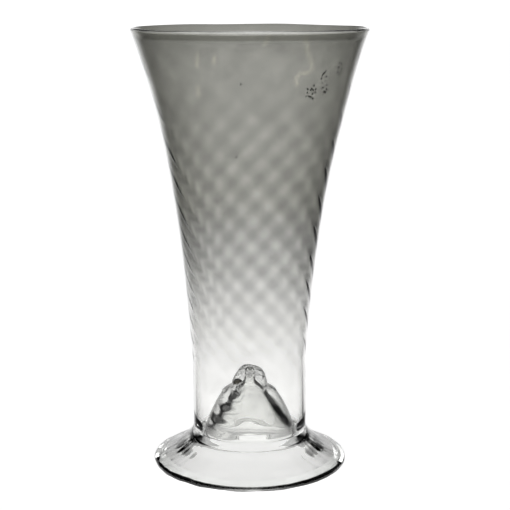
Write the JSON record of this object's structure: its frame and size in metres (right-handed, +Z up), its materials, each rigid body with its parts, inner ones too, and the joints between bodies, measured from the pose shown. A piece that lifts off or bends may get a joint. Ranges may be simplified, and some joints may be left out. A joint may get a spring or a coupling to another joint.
{
  "type": "beer glass",
  "caption": "Tall trumpet-shaped beer glass with spiral optic ribs, a pushed-in kick with a knob, and an applied foot with a folded edge.",
  "frame": {"origin": "on the table, under the middle of the foot", "axes": "+Z up along the glass's axis from the foot to the rim; X and Y are level, and the glass is round, so no side is the front"},
  "size_m": [0.1056, 0.1056, 0.2],
  "materials": {
    "smoky_ribbed_glass": "fire-polished, spiral-ribbed, smoky grey towards the rim",
    "clear_kick_glass": "fire-polished, tool-marked, nearly colourless",
    "clear_foot_glass": "fire-polished, nearly colourless, streaky",
    "broken_pontil_glass": "broken, rough"
  },
  "bodies": {
    "root": {"bowl": "smoky_ribbed_glass", "kick": "clear_kick_glass", "kick_knob": "clear_kick_glass", "pontil_scar": "broken_pontil_glass", "foot": "clear_foot_glass", "foot_fold": "clear_foot_glass"}
  },
  "joints": []
}
